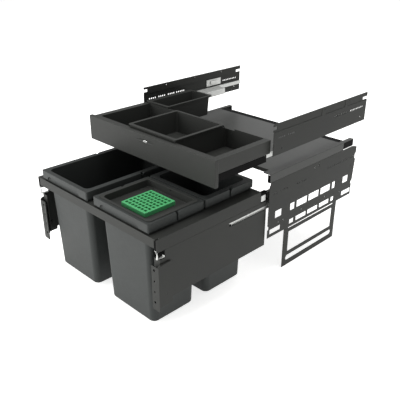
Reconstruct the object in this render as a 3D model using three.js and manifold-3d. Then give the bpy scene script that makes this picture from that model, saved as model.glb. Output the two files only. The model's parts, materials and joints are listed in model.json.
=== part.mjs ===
// Pull-out waste sorter with a storage drawer, for a kitchen cabinet 600 mm wide.
//
// Millimetres, +Z up, +X to the right and +Y to the back, as seen from the front of the cabinet.
// Inside this file Y = 0 is the cabinet's front edge and Z = 0 is its floor. The pull-out and the
// drawer are modelled in their closed places and then moved forward by their travel, so the group
// that is exported shows both of them fully open. The whole group is moved along Y at the end, so
// that its origin is below the middle of its bounding box.

import * as THREE from 'three';
import { mergeVertices } from 'three/addons/utils/BufferGeometryUtils.js';
import Module from 'manifold-3d';

const wasm = await Module();
wasm.setup();

// ---------------------------------------------------------------- driving dimensions

const NICHE_HALF = 282;           // half of the clear width between the cabinet's side walls
const SHEET = 1.6;                // steel sheet thickness
const GAP = 0.3;                  // clearance between two pieces that touch

const PULLOUT_TRAVEL = 422;       // how far the bin frame slides out
const DRAWER_TRAVEL = 220;        // how far the drawer slides out
const LENGTH_FRONT = -PULLOUT_TRAVEL;   // foremost point with everything open
const LENGTH_BACK = 497;          // rear end of the upper wall plates

const FRAME_HALF = 274.5;         // bin frame: half width over the side rails
const FRAME_DEPTH = 396;
const FRAME_TOP = 304;
const FLANGE_IN = 236.5;          // inner edge of the side rails' top flange
const FRONT_RAIL_DROP = 26;
const SIDE_RAIL_DROP = 37;

const BIN_CENTRE_X = 130.5;       // the two columns of bins, left and right of the middle
const RIM_WIDTH = 230;
const RIM_BOTTOM = 312;
const RIM_TOP = 335;
const BIN_FLOOR = 15;             // underside of the bins above the cabinet floor
const SMALL_RIM_DEPTH = 195;
const RIM_PITCH = 199;            // from the front edge of one small bin to that of the next

const SHELF_TOP = 350;
const SHELF_FRONT = 30;
const SHELF_BACK = 376;

const DRAWER_TOP = 450.5;         // top of the drawer's side walls
const DRAWER_FLOOR = 386;
const DRAWER_HALF = 270.5;

const WALL_PLATE_IN = NICHE_HALF - 1.5;

// ---------------------------------------------------------------- materials

const finishes = {
  anthracitePaint: { color: 0x3d3e3d, roughness: 0.45, metalness: 0.35 },
  anthracitePlastic: { color: 0x585a59, roughness: 0.5, metalness: 0 },
  binPlastic: { color: 0x5f6261, roughness: 0.45, metalness: 0 },
  drawerPlastic: { color: 0x404240, roughness: 0.5, metalness: 0 },
  blackPlastic: { color: 0x161716, roughness: 0.5, metalness: 0 },
  zincSteel: { color: 0xc9cac8, roughness: 0.35, metalness: 0.9 },
  screwSteel: { color: 0x8f908e, roughness: 0.35, metalness: 0.9 },
  greenPlastic: { color: 0x4a9062, roughness: 0.5, metalness: 0 },
  filterFoam: { color: 0x1c1d1c, roughness: 0.95, metalness: 0 },
  badgeMetal: { color: 0xc4c5c3, roughness: 0.3, metalness: 0.8 },
};

// ---------------------------------------------------------------- solid helpers

// A closed three.js geometry as a solid that can be joined and cut.
function solid(geometry) {
  const bare = geometry.clone();
  for (const name of Object.keys(bare.attributes)) {
    if (name !== 'position') bare.deleteAttribute(name);
  }
  const merged = mergeVertices(bare, 1e-4);
  return new wasm.Manifold(new wasm.Mesh({
    numProp: 3,
    vertProperties: new Float32Array(merged.attributes.position.array),
    triVerts: new Uint32Array(merged.index.array),
  }));
}

// A solid back as a three.js geometry.
function geometryOf(shape) {
  const mesh = shape.getMesh();
  const geometry = new THREE.BufferGeometry();
  geometry.setAttribute('position', new THREE.BufferAttribute(new Float32Array(mesh.vertProperties), 3));
  geometry.setIndex(new THREE.BufferAttribute(new Uint32Array(mesh.triVerts), 1));
  geometry.computeVertexNormals();
  return geometry;
}

// A block between two opposite corners, given as ranges along X, Y and Z.
function block([x0, x1], [y0, y1], [z0, z1]) {
  const size = [Math.abs(x1 - x0), Math.abs(y1 - y0), Math.abs(z1 - z0)];
  const geometry = new THREE.BoxGeometry(...size);
  geometry.translate((x0 + x1) / 2, (y0 + y1) / 2, (z0 + z1) / 2);
  return solid(geometry);
}

// A closed outline of points as a THREE.Shape.
function outline(points) {
  return new THREE.Shape(points.map(([u, v]) => new THREE.Vector2(u, v)));
}

// A rectangle with round corners as a THREE.Shape.
function roundedRectangle([u0, u1], [v0, v1], radius) {
  const shape = new THREE.Shape();
  shape.moveTo(u0 + radius, v0);
  shape.lineTo(u1 - radius, v0);
  shape.absarc(u1 - radius, v0 + radius, radius, -Math.PI / 2, 0);
  shape.lineTo(u1, v1 - radius);
  shape.absarc(u1 - radius, v1 - radius, radius, 0, Math.PI / 2);
  shape.lineTo(u0 + radius, v1);
  shape.absarc(u0 + radius, v1 - radius, radius, Math.PI / 2, Math.PI);
  shape.lineTo(u0, v0 + radius);
  shape.absarc(u0 + radius, v0 + radius, radius, Math.PI, Math.PI * 1.5);
  return shape;
}

// An outline in X and Y, extruded along Z.
function extrudeUp(shape, [z0, z1], curveSegments = 4) {
  const geometry = new THREE.ExtrudeGeometry(shape, { depth: z1 - z0, bevelEnabled: false, curveSegments });
  geometry.translate(0, 0, z0);
  return solid(geometry);
}

// An outline in Y and Z, extruded along X between two planes.
function extrudeAcross(shape, xs, curveSegments = 4) {
  const x0 = Math.min(...xs);
  const x1 = Math.max(...xs);
  const geometry = new THREE.ExtrudeGeometry(shape, { depth: x1 - x0, bevelEnabled: false, curveSegments });
  geometry.applyMatrix4(new THREE.Matrix4().set(0, 0, 1, x0, 1, 0, 0, 0, 0, 1, 0, 0, 0, 0, 0, 1));
  return solid(geometry);
}

// A round pin along X, centred on a point in Y and Z.
function pinAcross(xs, y, z, radius, sides = 16) {
  const x0 = Math.min(...xs);
  const x1 = Math.max(...xs);
  const geometry = new THREE.CylinderGeometry(radius, radius, x1 - x0, sides);
  geometry.rotateZ(Math.PI / 2);
  geometry.translate((x0 + x1) / 2, y, z);
  return solid(geometry);
}

// A rounded rectangle that narrows from its top to its bottom: the body of a moulded bin or box.
function taperedBody(top, bottom, [z0, z1]) {
  const shape = roundedRectangle(top.x, top.y, top.radius);
  const geometry = new THREE.ExtrudeGeometry(shape, { depth: z1 - z0, bevelEnabled: false, curveSegments: 4 });
  const position = geometry.attributes.position;
  const centre = (range) => (range[0] + range[1]) / 2;
  const width = (range) => range[1] - range[0];
  for (let i = 0; i < position.count; i += 1) {
    const atBottom = position.getZ(i) < (z1 - z0) / 2;
    if (atBottom) {
      const u = (position.getX(i) - centre(top.x)) / width(top.x);
      const v = (position.getY(i) - centre(top.y)) / width(top.y);
      position.setX(i, centre(bottom.x) + u * width(bottom.x));
      position.setY(i, centre(bottom.y) + v * width(bottom.y));
    }
    position.setZ(i, position.getZ(i) + z0);
  }
  return solid(geometry);
}

// Both ends of a range moved inwards by a distance.
function inset([low, high], distance) {
  return [low + distance, high - distance];
}

// A range along X on the right side, or its mirror image on the left side.
function onSide(side, [inner, outer]) {
  return side > 0 ? [inner, outer] : [-outer, -inner];
}

const union = (...shapes) => shapes.reduce((a, b) => a.add(b));
const cut = (shape, ...tools) => tools.reduce((a, b) => a.subtract(b), shape);

// ---------------------------------------------------------------- scene graph

const sorter = new THREE.Group();
const cabinetFixed = new THREE.Group();
const pullout = new THREE.Group();
const drawer = new THREE.Group();
const pulloutMiddle = new THREE.Group();
const drawerMiddle = new THREE.Group();

pullout.position.y = -PULLOUT_TRAVEL;
pulloutMiddle.position.y = -PULLOUT_TRAVEL / 2;
drawer.position.y = -DRAWER_TRAVEL;
drawerMiddle.position.y = -DRAWER_TRAVEL / 2;
sorter.add(cabinetFixed, pullout, pulloutMiddle, drawer, drawerMiddle);
sorter.position.y = -(LENGTH_FRONT + LENGTH_BACK) / 2;

function addPiece(group, name, shape, finish) {
  const mesh = new THREE.Mesh(geometryOf(shape), new THREE.MeshStandardMaterial(finishes[finish]));
  mesh.name = name;
  group.add(mesh);
}

const sides = [['left', -1], ['right', 1]];

// ---------------------------------------------------------------- lower wall plates and legs

// Window rows of the lower wall plate: ranges along Y, in a band along Z.
const UPPER_WINDOWS = [[37, 68], [111, 133], [144, 199], [207, 263], [273, 328], [340, 359], [404, 435]];
const LOWER_WINDOWS = [[14, 66], [111, 133], [144, 199], [207, 263], [273, 328], [340, 359], [405, 459]];
const UPPER_WINDOW_BAND = [198, 222];
const LOWER_WINDOW_BAND = [151, 167];
const LOWER_PLATE_BOTTOM = 141;
const LOWER_PLATE_TOP = 323.6;

function lowerWallPlate(side) {
  const shape = outline([
    [4, LOWER_PLATE_BOTTOM], [462, LOWER_PLATE_BOTTOM], [462, 180], [458, 180], [458, 190], [464, 194],
    [470, 270], [464, 276], [464, 290], [470, 294], [470, 316], [450, 322], [440, LOWER_PLATE_TOP],
    [8, LOWER_PLATE_TOP], [8, 316], [4, 312], [4, 182], [9, 178], [9, 170], [4, 168],
  ]);
  const xs = onSide(side, [WALL_PLATE_IN, NICHE_HALF]);
  const through = onSide(side, [WALL_PLATE_IN - 1, NICHE_HALF + 1]);
  const windows = [
    ...UPPER_WINDOWS.map((ys) => block(through, ys, UPPER_WINDOW_BAND)),
    ...LOWER_WINDOWS.map((ys) => block(through, ys, LOWER_WINDOW_BAND)),
  ];
  return cut(extrudeAcross(shape, xs), ...windows);
}

// The leg frame hangs behind the wall plate and stands on the cabinet floor.
const LEG_FRONT = 90;
const LEG_BACK = 381;
const LEG_POST = 21;
const LEG_TOP = 252;
const LEG_X = [278.4, WALL_PLATE_IN - GAP];
const LEG_SLOT_Z = [176, 218];
const LEG_POST_MIDDLES = [LEG_FRONT + LEG_POST / 2, LEG_BACK - LEG_POST / 2];

function legFrame(side) {
  const xs = onSide(side, LEG_X);
  const through = onSide(side, [LEG_X[0] - 1, LEG_X[1] + 1]);
  const sheet = block(xs, [LEG_FRONT, LEG_BACK], [0, LEG_TOP]);
  const foot = extrudeAcross(outline([
    [108, 24], [114, 18], [357, 18], [363, 24], [363, 30], [357, 36], [114, 36], [108, 30],
  ]), through);
  const wideWindow = block(through, [LEG_FRONT + 25, LEG_BACK - 25], [50, 122]);
  const upperWindow = block(through, [LEG_FRONT + LEG_POST, LEG_BACK - LEG_POST], [135, LEG_TOP - 20]);
  const adjustSlots = LEG_POST_MIDDLES.map((y) => block(through, [y - 2.7, y + 2.7], LEG_SLOT_Z));
  return cut(sheet, foot, wideWindow, upperWindow, ...adjustSlots);
}

// A flat-headed clamp screw through the leg's slot, screwed into the wall plate from inside.
function legScrew(side, y) {
  const z = (LEG_SLOT_Z[0] + LEG_SLOT_Z[1]) / 2;
  const head = pinAcross(onSide(side, [275.6, LEG_X[0] - GAP]), y, z, 5);
  const shank = pinAcross(onSide(side, [277, WALL_PLATE_IN - GAP]), y, z, 2.2);
  return union(head, shank);
}

for (const [label, side] of sides) {
  addPiece(cabinetFixed, `lower_wall_plate_${label}`, lowerWallPlate(side), 'anthracitePaint');
  addPiece(cabinetFixed, `leg_frame_${label}`, legFrame(side), 'anthracitePaint');
  addPiece(cabinetFixed, `leg_screw_${label}_front`, legScrew(side, LEG_POST_MIDDLES[0]), 'screwSteel');
  addPiece(cabinetFixed, `leg_screw_${label}_rear`, legScrew(side, LEG_POST_MIDDLES[1]), 'screwSteel');
}

// ---------------------------------------------------------------- cover shelf

const SHELF_SKIRT_BOTTOM = LOWER_PLATE_TOP + GAP;
const SHELF_TONGUE_IN = 254;      // inner edge of the front tongues beside the pull-out
const SHELF_EAR_IN = 267;         // inner edge of the narrow ears at the rear
const SHELF_TONGUE_FRONT = 4;
const SHELF_FLANGE_DROP = 12;     // the front flange ends above the filter lid that slides below it
const SHELF_EAR_BACK = 443;
const SHELF_SKIRT_BACK = 385;

// A folded sheet that covers the bins: it lies on the lower wall plates, between the side skirts.
function coverShelf() {
  const topZ = [SHELF_TOP - 2, SHELF_TOP];
  const plate = block([-NICHE_HALF, NICHE_HALF], [SHELF_FRONT, SHELF_BACK], topZ);
  const frontFlange = block([-SHELF_TONGUE_IN, SHELF_TONGUE_IN], [SHELF_FRONT, SHELF_FRONT + 2],
    [SHELF_TOP - SHELF_FLANGE_DROP, SHELF_TOP]);
  const edges = sides.flatMap(([, side]) => [
    block(onSide(side, [SHELF_TONGUE_IN, NICHE_HALF]), [SHELF_TONGUE_FRONT, SHELF_FRONT], topZ),
    block(onSide(side, [SHELF_EAR_IN, NICHE_HALF]), [SHELF_BACK, SHELF_EAR_BACK], topZ),
    block(onSide(side, [NICHE_HALF - 2, NICHE_HALF]), [SHELF_TONGUE_FRONT, SHELF_SKIRT_BACK],
      [SHELF_SKIRT_BOTTOM, SHELF_TOP]),
  ]);
  return union(plate, frontFlange, ...edges);
}

// A dark plastic profile along the shelf's rear edge.
function shelfRearProfile() {
  const wall = 2;
  const xs = inset([-SHELF_EAR_IN, SHELF_EAR_IN], GAP);
  const ys = [SHELF_BACK + GAP, SHELF_BACK + 26];
  const top = SHELF_TOP - 0.4;
  const hollow = block(inset(xs, wall), inset(ys, wall), [330, top - wall]);
  return cut(block(xs, ys, [338, top]), hollow);
}

// The plastic caps that close the skirts at the rear and at the front.
function shelfEndClip(side) {
  const ys = [SHELF_SKIRT_BACK + GAP, SHELF_EAR_BACK];
  return block(onSide(side, [SHELF_EAR_IN + GAP, NICHE_HALF]), ys, [LOWER_PLATE_TOP + 2.4, SHELF_TOP - 2 - GAP]);
}

function shelfFrontCap(side) {
  const ys = [1, SHELF_TONGUE_FRONT - GAP];
  return block(onSide(side, [274, NICHE_HALF]), ys, [SHELF_SKIRT_BOTTOM + 1, SHELF_TOP - 2]);
}

addPiece(cabinetFixed, 'cover_shelf', coverShelf(), 'anthracitePlastic');
addPiece(cabinetFixed, 'shelf_rear_profile', shelfRearProfile(), 'blackPlastic');
for (const [label, side] of sides) {
  addPiece(cabinetFixed, `shelf_end_clip_${label}`, shelfEndClip(side), 'blackPlastic');
  addPiece(cabinetFixed, `shelf_front_cap_${label}`, shelfFrontCap(side), 'blackPlastic');
}

// ---------------------------------------------------------------- upper wall plates

const UPPER_PLATE = { front: 8, back: LENGTH_BACK, bottom: 404, fold: 475, top: 498 };

function upperWallPlate(side) {
  const { front, back, bottom, fold, top } = UPPER_PLATE;
  const web = extrudeAcross(outline([
    [front, bottom], [back, bottom], [back, top], [front, top],
  ]), onSide(side, [WALL_PLATE_IN, NICHE_HALF]));
  const foldedBand = block(onSide(side, [WALL_PLATE_IN - 2.2, NICHE_HALF - 0.5]), [front, back], [fold, top]);
  const through = onSide(side, [WALL_PLATE_IN - 4, NICHE_HALF + 1]);
  const frontNotch = block(through, [front - 1, 24], [481, 491]);
  const backNotch = block(through, [472, back + 1], [475.5, 485.5]);
  const screwHoles = [[45, 421], [466, 421], [110, 491], [251, 491], [390, 491]]
    .map(([y, z]) => pinAcross(through, y, z, 2.2, 8));
  return cut(union(web, foldedBand), frontNotch, backNotch, ...screwHoles);
}

// A spring-steel plate on the inner face: it carries the drawer's soft-close unit.
function damperPlate(side) {
  const plate = block(onSide(side, [278.6, WALL_PLATE_IN - GAP]), [310, 386], [446, 470]);
  const catchBlock = block(onSide(side, [275.6, 279]), [330, 366], [452, 464]);
  return union(plate, catchBlock);
}

for (const [label, side] of sides) {
  addPiece(cabinetFixed, `upper_wall_plate_${label}`, upperWallPlate(side), 'anthracitePaint');
  addPiece(cabinetFixed, `drawer_damper_plate_${label}`, damperPlate(side), 'zincSteel');
}

// ---------------------------------------------------------------- pull-out runners

const RUNNER_ARM_Z = [241, 242.8];
const RUNNER_FRONT = 16;
const RUNNER_BACK = 460;
const COVER_SLOT = { front: 264, back: 424, bottom: 240, top: 251.4 };   // the side cover's slot

// The cabinet member clears the leg frame and is bolted to the wall plate above it, on two pads.
// Its arm reaches in behind the side cover to the blade that carries the middle member.
function pulloutRunnerFixed(side) {
  const webX = [276.3, 278.1];
  const web = block(onSide(side, webX), [RUNNER_FRONT, RUNNER_BACK], [RUNNER_ARM_Z[0], 300]);
  const pads = [[20, 80], [385, 455]].map((ys) => block(
    onSide(side, [webX[0], WALL_PLATE_IN - GAP]), ys, [272, 300],
  ));
  const arm = block(onSide(side, [246, webX[1]]), [COVER_SLOT.back + 2, RUNNER_BACK], RUNNER_ARM_Z);
  const blade = block(onSide(side, [246, 248]), [RUNNER_FRONT, RUNNER_BACK], [RUNNER_ARM_Z[0], 277]);
  return union(web, ...pads, arm, blade);
}

// The middle member's outer lip shows through the slot while the frame is out.
function pulloutRunnerMiddle(side) {
  const ys = [53, 452];
  const leg = block(onSide(side, [250, 252]), ys, [249.2, 284]);
  const roof = block(onSide(side, [250, 259.5]), ys, [282, 284]);
  const lip = block(onSide(side, [250, 271.8]), ys, [249.2, 251]);
  const edge = block(onSide(side, [270, 271.8]), ys, [245, 251]);
  return union(leg, roof, lip, edge);
}

function pulloutRunnerInner(side) {
  const web = block(onSide(side, [270.4, 272.2]), [14, 395], [268.6, 301.6]);
  const roof = block(onSide(side, [262, 272.2]), [14, 395], [299.8, 301.6]);
  const floor = block(onSide(side, [262, 272.2]), [14, 395], [268.6, 270.4]);
  return union(web, roof, floor);
}

// The hooked front end of the inner member, which the front rail drops onto.
const HOOK_BACK = 26;
const HOOK_Z = [247, 270.6];

function runnerHook(side) {
  const xs = onSide(side, [264, 272.2]);
  const lowXs = onSide(side, [266, FRAME_HALF]);
  const down = block(xs, [2, 3.8], HOOK_Z);
  const face = block(lowXs, [2, 3.8], [HOOK_Z[0], 262]);
  const under = block(lowXs, [2, HOOK_BACK], [HOOK_Z[0], HOOK_Z[0] + 1.8]);
  const up = block(lowXs, [HOOK_BACK - 1.8, HOOK_BACK], [HOOK_Z[0], 252]);
  const tongue = block(xs, [2, 13.4], [HOOK_Z[1] - 1.8, HOOK_Z[1]]);
  return union(down, face, under, up, tongue);
}

for (const [label, side] of sides) {
  addPiece(cabinetFixed, `pullout_runner_fixed_${label}`, pulloutRunnerFixed(side), 'zincSteel');
  addPiece(pulloutMiddle, `pullout_runner_middle_${label}`, pulloutRunnerMiddle(side), 'zincSteel');
  addPiece(pullout, `pullout_runner_inner_${label}`, pulloutRunnerInner(side), 'zincSteel');
  addPiece(pullout, `pullout_runner_hook_${label}`, runnerHook(side), 'zincSteel');
}

// ---------------------------------------------------------------- bin frame

const RAIL_TOP_Z = [FRAME_TOP - SHEET, FRAME_TOP];
const FRONT_RAIL_HALF = FRAME_HALF - 4.5;
const FRONT_FLANGE = 12;          // depth of the front rail's top flange
const REAR_RAIL_FRONT = 384;
const BAR_Z = [294, FRAME_TOP];
const CENTRE_BAR_HALF = 21;       // half of the flat bar between the left and the right bins
const CROSS_BAR_Y = [187, 207];

function frontRail() {
  const face = block([-FRONT_RAIL_HALF, FRONT_RAIL_HALF], [0, SHEET], [FRAME_TOP - FRONT_RAIL_DROP, FRAME_TOP]);
  const flange = block([-FRONT_RAIL_HALF, FRONT_RAIL_HALF], [0, FRONT_FLANGE], RAIL_TOP_Z);
  const bottomLip = block([-FLANGE_IN, FLANGE_IN], [0, 8],
    [FRAME_TOP - FRONT_RAIL_DROP, FRAME_TOP - FRONT_RAIL_DROP + SHEET]);
  return union(face, flange, bottomLip);
}

function rearRail() {
  const face = block([-FLANGE_IN, FLANGE_IN], [FRAME_DEPTH - SHEET, FRAME_DEPTH], [278, FRAME_TOP]);
  const flange = block([-FLANGE_IN, FLANGE_IN], [REAR_RAIL_FRONT, FRAME_DEPTH], RAIL_TOP_Z);
  return union(face, flange);
}

function sideRail(side) {
  const bottom = FRAME_TOP - SIDE_RAIL_DROP;
  const web = block(onSide(side, [FRAME_HALF - SHEET, FRAME_HALF]), [0, FRAME_DEPTH], [bottom, FRAME_TOP]);
  const flange = block(onSide(side, [FLANGE_IN + GAP, FRAME_HALF]), [FRONT_FLANGE + GAP, FRAME_DEPTH], RAIL_TOP_Z);
  return union(web, flange);
}

function centreBar() {
  return cut(
    block([-CENTRE_BAR_HALF, CENTRE_BAR_HALF], [FRONT_FLANGE + GAP, REAR_RAIL_FRONT - GAP], BAR_Z),
    block([-CENTRE_BAR_HALF + SHEET, CENTRE_BAR_HALF - SHEET], [0, FRAME_DEPTH], [0, BAR_Z[1] - SHEET]),
  );
}

function crossBar() {
  return cut(
    block([CENTRE_BAR_HALF + GAP, FLANGE_IN], CROSS_BAR_Y, BAR_Z),
    block([0, NICHE_HALF], inset(CROSS_BAR_Y, SHEET), [0, BAR_Z[1] - SHEET]),
  );
}

const COVER_BOTTOM = 118;
const COVER_TOP = FRAME_TOP - SIDE_RAIL_DROP - GAP;
const COVER_FRONT = 9.4;
const COVER_BACK = 423;
const BRACKET_SCREW = { y: 24.5, z: 141, radius: 2.6 };

// A flat sheet that hangs beside the bins and hides them from the side. Its slot is open at the rear.
function sideCover(side) {
  const across = onSide(side, [FRAME_HALF - SHEET, FRAME_HALF]);
  const through = onSide(side, [FRAME_HALF - 6, FRAME_HALF + 1]);
  const sheet = block(across, [COVER_FRONT, COVER_BACK], [COVER_BOTTOM, COVER_TOP]);
  const frontFold = block(onSide(side, [253, FRAME_HALF]), [COVER_FRONT, COVER_FRONT + SHEET], [COVER_BOTTOM, 244]);
  const slot = block(through, [COVER_SLOT.front, COVER_SLOT.back], [COVER_SLOT.bottom, COVER_SLOT.top]);
  const hookCorner = block(through, [COVER_FRONT - 1, HOOK_BACK + 2], [244.3, COVER_TOP + 1]);
  const hole = pinAcross(onSide(side, [270, 276]), BRACKET_SCREW.y, BRACKET_SCREW.z, BRACKET_SCREW.radius + 0.4);
  return cut(union(sheet, frontFold), slot, hookCorner, hole);
}

// The angle that the cabinet's door is screwed to.
const BRACKET_OUT = 279.8;
const BRACKET_HOLES = [[213, 3], [180, 2], [148, 2], [116, 3]];

function frontBracket(side) {
  const front = block(onSide(side, [BRACKET_OUT - 28.3, BRACKET_OUT]), [0, 2], [92, 225]);
  const sideFlange = extrudeAcross(outline([
    [0, 92], [2, 92], [6, 107], [45, 107], [45, 232], [6, 232], [2, 225], [0, 225],
  ]), onSide(side, [BRACKET_OUT - 2, BRACKET_OUT]));
  const spacer = block(onSide(side, [FRAME_HALF + GAP, BRACKET_OUT]), [14, 40], [120, 128]);
  const holes = BRACKET_HOLES.map(([z, radius]) => {
    const geometry = new THREE.CylinderGeometry(radius, radius, 8, 12);
    geometry.translate(side * (BRACKET_OUT - 18), 0, z);
    return solid(geometry);
  });
  const screwHole = pinAcross(onSide(side, [270, 290]), BRACKET_SCREW.y, BRACKET_SCREW.z, BRACKET_SCREW.radius + 0.4);
  return cut(union(front, sideFlange, spacer), ...holes, screwHole);
}

function bracketScrew(side) {
  const shank = pinAcross(onSide(side, [268, BRACKET_OUT - 0.2]), BRACKET_SCREW.y, BRACKET_SCREW.z, BRACKET_SCREW.radius);
  const nut = pinAcross(onSide(side, [268.4, FRAME_HALF - SHEET - GAP]), BRACKET_SCREW.y, BRACKET_SCREW.z, 5, 6);
  return union(shank, nut);
}

function rearHousing(side) {
  return block(onSide(side, [262.4, FRAME_HALF]), [FRAME_DEPTH + GAP, COVER_BACK], [COVER_TOP + GAP, 299]);
}

addPiece(pullout, 'frame_front_rail', frontRail(), 'anthracitePaint');
addPiece(pullout, 'frame_rear_rail', rearRail(), 'anthracitePaint');
addPiece(pullout, 'frame_centre_bar', centreBar(), 'anthracitePaint');
addPiece(pullout, 'frame_cross_bar', crossBar(), 'anthracitePaint');
for (const [label, side] of sides) {
  addPiece(pullout, `frame_side_rail_${label}`, sideRail(side), 'anthracitePaint');
  addPiece(pullout, `side_cover_${label}`, sideCover(side), 'anthracitePaint');
  addPiece(pullout, `front_bracket_${label}`, frontBracket(side), 'anthracitePaint');
  addPiece(pullout, `bracket_screw_${label}`, bracketScrew(side), 'screwSteel');
  addPiece(pullout, `runner_rear_housing_${label}`, rearHousing(side), 'blackPlastic');
}

// ---------------------------------------------------------------- bins

const BIN_WALL = 2.4;
// From the rim's outer edge in to the body, at the top and at the bottom.
const BODY_INSET_TOP = { x: 15, y: 11.5 };
const BODY_INSET_BOTTOM = { x: 20, y: 22 };
const BODY_RADIUS = 16;
const RIM_WALL = 3;

function bin(xs, ys) {
  const top = { x: inset(xs, BODY_INSET_TOP.x), y: inset(ys, BODY_INSET_TOP.y), radius: BODY_RADIUS };
  const bottom = { x: inset(xs, BODY_INSET_BOTTOM.x), y: inset(ys, BODY_INSET_BOTTOM.y) };
  const body = taperedBody(top, bottom, [BIN_FLOOR, RIM_TOP]);
  const mouthTop = { x: inset(top.x, BIN_WALL), y: inset(top.y, BIN_WALL), radius: BODY_RADIUS - BIN_WALL };
  const mouthBottom = { x: inset(bottom.x, BIN_WALL), y: inset(bottom.y, BIN_WALL) };
  const mouth = taperedBody(mouthTop, mouthBottom, [BIN_FLOOR + BIN_WALL, RIM_TOP + 1]);
  const rimBlock = extrudeUp(roundedRectangle(xs, ys, 5), [RIM_BOTTOM, RIM_TOP], 2);
  const rimHollow = extrudeUp(
    roundedRectangle(inset(xs, RIM_WALL), inset(ys, RIM_WALL), 3), [RIM_BOTTOM - 1, RIM_TOP - RIM_WALL], 2,
  );
  const rim = cut(rimBlock, rimHollow);
  const restX = inset(xs, 4);
  const restY = inset(ys, 4);
  const rest = cut(
    extrudeUp(roundedRectangle(restX, restY, 3), [FRAME_TOP + GAP, RIM_BOTTOM + 6], 2),
    extrudeUp(roundedRectangle(inset(restX, 2), inset(restY, 2), 2), [FRAME_TOP - 1, RIM_BOTTOM + 7], 2),
  );
  const shelf = block(inset(xs, 4), inset(ys, 4), [RIM_BOTTOM + 4, RIM_BOTTOM + 6]);
  const gripWidth = (xs[1] - xs[0]) * 0.7;
  const gripStart = xs[0] + (xs[1] - xs[0]) * 0.13;
  const grip = block([gripStart, gripStart + gripWidth], [ys[0] - 1, ys[0] + RIM_WALL + 0.5],
    [RIM_BOTTOM - 1, RIM_BOTTOM + 11]);
  const middle = (ys[0] + ys[1]) / 2;
  const notches = xs.map((x) => block([x - 7, x + 7], [middle - 5, middle + 5], [RIM_BOTTOM - 1, RIM_TOP + 1]));
  return cut(union(body, rim, rest, shelf), mouth, grip, ...notches);
}

const rightX = [BIN_CENTRE_X - RIM_WIDTH / 2, BIN_CENTRE_X + RIM_WIDTH / 2];
const leftX = [-rightX[1], -rightX[0]];
const frontY = [0, SMALL_RIM_DEPTH];
const rearY = [RIM_PITCH, RIM_PITCH + SMALL_RIM_DEPTH];

addPiece(pullout, 'bin_left', bin(leftX, [frontY[0], rearY[1]]), 'binPlastic');
addPiece(pullout, 'bin_right_front', bin(rightX, frontY), 'binPlastic');
addPiece(pullout, 'bin_right_rear', bin(rightX, rearY), 'binPlastic');

// ---------------------------------------------------------------- filter lid

const LID_LIP = [RIM_TOP + GAP, RIM_TOP + 2];
const LID_FLOOR = 315;            // upper side of the lid's floor
const LID_CHAMFER = 20;
const LID_INSET = { x: 18.4, y: 15 };     // from the bin rim's outer edge in to the lid's sunken tray
const LID_LIP_INSET = { x: 8, y: 9 };

function chamferedShape([x0, x1], [y0, y1], chamfer) {
  return outline([
    [x0 + chamfer, y0], [x1 - chamfer, y0], [x1, y0 + chamfer], [x1, y1 - chamfer], [x1 - chamfer, y1],
    [x0 + chamfer, y1], [x0, y1 - chamfer], [x0, y0 + chamfer],
  ]);
}

const lidX = inset(rightX, LID_INSET.x);
const lidY = inset(frontY, LID_INSET.y);
const gridX = [80.5, 180.5];
const gridY = [44.5, 150.5];
const WELL_WALL = 2;
const wellX = inset(gridX, 3);
const wellY = inset(gridY, 3);

// A sunken tray that hangs in the front bin's mouth by its lip, with a well under the grid.
function filterLid() {
  const floorBottom = LID_FLOOR - 2;
  const outer = extrudeUp(chamferedShape(lidX, lidY, LID_CHAMFER), [floorBottom, LID_LIP[1]]);
  const lipShape = chamferedShape(inset(rightX, LID_LIP_INSET.x), inset(frontY, LID_LIP_INSET.y), LID_CHAMFER);
  const lip = extrudeUp(lipShape, LID_LIP);
  const inner = extrudeUp(chamferedShape(inset(lidX, 2), inset(lidY, 2), LID_CHAMFER), [LID_FLOOR, LID_LIP[1] + 1]);
  const well = block(wellX, wellY, [LID_FLOOR - 10.5, LID_FLOOR - 0.5]);
  const wellOpening = block(inset(wellX, WELL_WALL), inset(wellY, WELL_WALL), [LID_FLOOR - 9, LID_FLOOR + 1]);
  const vents = [];
  for (let column = 0; column < 4; column += 1) {
    const x = gridX[0] + 14 + column * 21;
    vents.push(block([x, x + 8], inset(gridY, 12), [LID_FLOOR - 12, LID_FLOOR - 8]));
  }
  return cut(union(outer, lip, well), inner, wellOpening, ...vents);
}

const GRID_HOLES = 7;
const GRID_TOP = 327.5;

function filterGrid() {
  const plate = extrudeUp(roundedRectangle(gridX, gridY, 2), [LID_FLOOR + GAP, GRID_TOP], 2);
  const pitchX = (gridX[1] - gridX[0] - 10) / GRID_HOLES;
  const pitchY = (gridY[1] - gridY[0] - 10) / GRID_HOLES;
  const holes = [];
  for (let i = 0; i < GRID_HOLES; i += 1) {
    for (let j = 0; j < GRID_HOLES; j += 1) {
      const x = gridX[0] + 5 + (i + 0.5) * pitchX;
      const y = gridY[0] + 5 + (j + 0.5) * pitchY;
      holes.push(block([x - 4, x + 4], [y - 4, y + 4], [LID_FLOOR - 1, GRID_TOP + 1]));
    }
  }
  return cut(plate, ...holes);
}

// A charcoal pad in the well.
function filterPad() {
  return block(inset(wellX, WELL_WALL + GAP), inset(wellY, WELL_WALL + GAP), [LID_FLOOR - 8.6, LID_FLOOR - GAP]);
}

addPiece(pullout, 'filter_lid', filterLid(), 'drawerPlastic');
addPiece(pullout, 'filter_grid', filterGrid(), 'greenPlastic');
addPiece(pullout, 'filter_pad', filterPad(), 'filterFoam');

// ---------------------------------------------------------------- drawer

const DRAWER_FRONT_Y = 1;
const TRAY_FRONT = 14;
const TRAY_BACK = 230;
const TRAY_IN = 250;              // inner face of the side compartments' outer walls
const PARTITION_X = [98, 100.5];

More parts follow.
